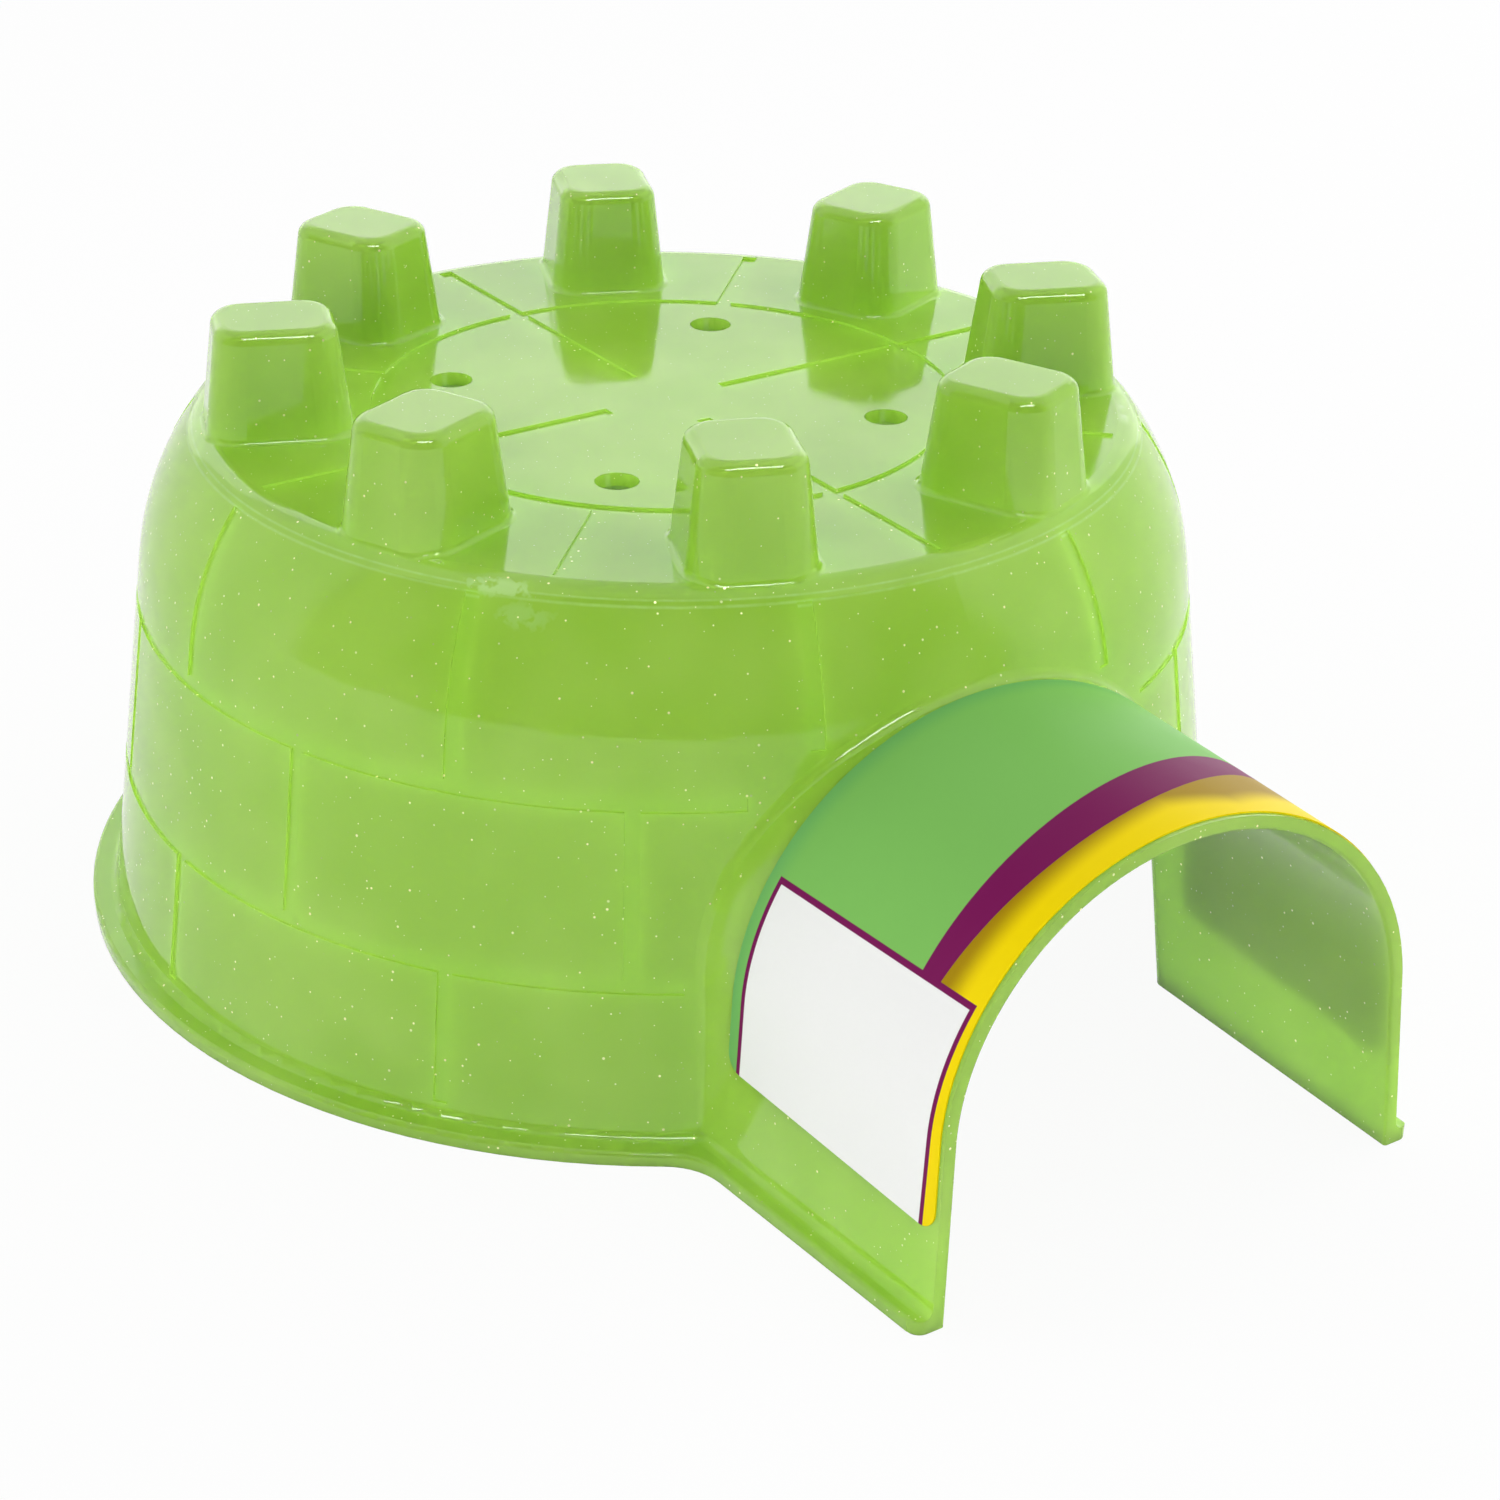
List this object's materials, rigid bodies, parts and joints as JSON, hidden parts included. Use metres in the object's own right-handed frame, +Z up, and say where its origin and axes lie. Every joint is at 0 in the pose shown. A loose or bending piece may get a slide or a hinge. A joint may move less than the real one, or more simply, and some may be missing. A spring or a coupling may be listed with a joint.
{
  "type": "rodent igloo",
  "caption": "Castle-topped moulded plastic hide for mice and dwarf hamsters, with hollow merlons, block-joint walls, a foot flange, an arched entrance tunnel and a wrapped label.",
  "frame": {"origin": "on the floor, under the middle of the whole part's box", "axes": "+Z up, +X out of the entrance tunnel, the part symmetric about the XZ plane"},
  "size_m": [0.1401, 0.117, 0.061],
  "materials": {
    "shell_plastic": "glossy translucent light green with fine pale glitter",
    "label_print": "printed film label with a soft sheen"
  },
  "bodies": {
    "root": {"igloo_shell": "shell_plastic", "tunnel_label": "label_print"}
  },
  "joints": []
}
